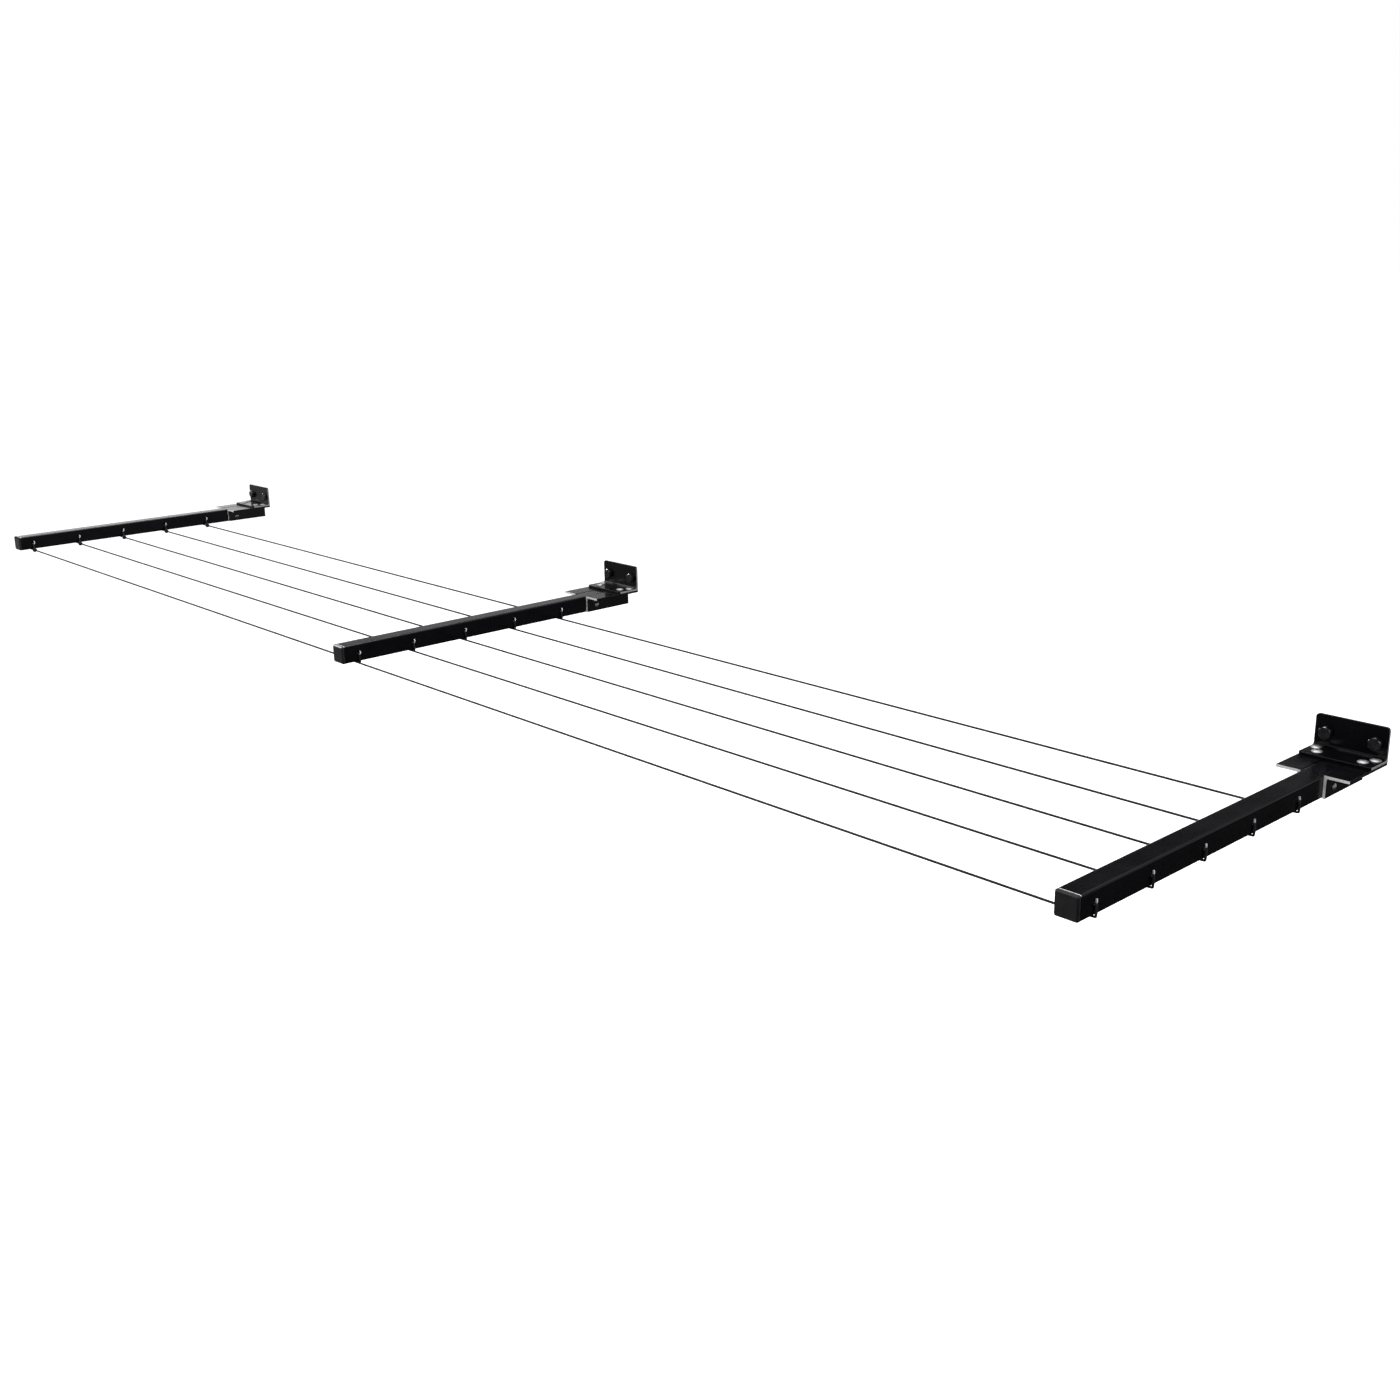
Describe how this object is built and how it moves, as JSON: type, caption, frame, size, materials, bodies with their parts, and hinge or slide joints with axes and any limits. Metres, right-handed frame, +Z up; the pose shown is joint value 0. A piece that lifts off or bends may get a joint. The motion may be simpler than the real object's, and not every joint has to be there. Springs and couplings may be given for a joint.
{
  "type": "wall mounted folding clothes airer",
  "caption": "Long low clothes airer: square arms on hinged wall brackets, tied by cords that run along the wall; the frame folds up flat.",
  "frame": {"origin": "midway between the centre bracket's two wall bolts, on the wall face", "axes": "+X along the wall towards the right arm, +Y into the wall, so the arms point to -Y, +Z up"},
  "size_m": [2.48, 0.5205, 0.0676],
  "materials": {
    "bracket_black": "black powder coat, satin, bare metal at the cut edges",
    "cheek_black": "black coated aluminium angle, bare saw-cut ends",
    "rivet_bright": "bright aluminium rivet",
    "bolt_black": "black oxide, slightly oily",
    "arm_black": "black powder coat, satin, bare metal inside the drilled holes",
    "cap_plastic": "black moulded plastic, satin",
    "cord_black": "thin black braided cord"
  },
  "bodies": {
    "wall_brackets": {"left_wall_bracket": "bracket_black", "left_cheek_left": "cheek_black", "left_cheek_right": "cheek_black", "left_flange_rivets": "rivet_bright", "left_wall_bolts": "bolt_black", "left_pivot_pin": "rivet_bright", "centre_wall_bracket": "bracket_black", "centre_cheek_left": "cheek_black", "centre_cheek_right": "cheek_black", "centre_flange_rivets": "rivet_bright", "centre_wall_bolts": "bolt_black", "centre_pivot_pin": "rivet_bright", "right_wall_bracket": "bracket_black", "right_cheek_left": "cheek_black", "right_cheek_right": "cheek_black", "right_flange_rivets": "rivet_bright", "right_wall_bolts": "bolt_black", "right_pivot_pin": "rivet_bright"},
    "centre_arm": {"centre_arm_tube": "arm_black", "centre_end_cap": "cap_plastic", "line_1": "cord_black", "line_2": "cord_black", "line_3": "cord_black", "line_4": "cord_black", "line_5": "cord_black", "line_1_left_knot": "cord_black", "line_1_right_knot": "cord_black", "line_2_left_knot": "cord_black", "line_2_right_knot": "cord_black", "line_3_left_knot": "cord_black", "line_3_right_knot": "cord_black", "line_4_left_knot": "cord_black", "line_4_right_knot": "cord_black", "line_5_left_knot": "cord_black", "line_5_right_knot": "cord_black"},
    "left_arm": {"left_arm_tube": "arm_black", "left_end_cap": "cap_plastic"},
    "right_arm": {"right_arm_tube": "arm_black", "right_end_cap": "cap_plastic"}
  },
  "joints": [
    {"name": "centre_arm_fold", "type": "hinge", "parent": "wall_brackets", "child": "centre_arm", "pos_m": [0, -0.0655, -0.0347], "axis": [-1, 0, 0], "range_deg": [0, 96]},
    {"name": "left_arm_fold", "type": "hinge", "parent": "wall_brackets", "child": "left_arm", "pos_m": [-1.2, -0.0655, -0.0347], "axis": [-1, 0, 0], "range_deg": [0, 96]},
    {"name": "right_arm_fold", "type": "hinge", "parent": "wall_brackets", "child": "right_arm", "pos_m": [1.2, -0.0655, -0.0347], "axis": [-1, 0, 0], "range_deg": [0, 96]}
  ],
  "couplings": [
    {"joint": "left_arm_fold", "follows": "centre_arm_fold", "ratio": 1},
    {"joint": "right_arm_fold", "follows": "centre_arm_fold", "ratio": 1}
  ]
}
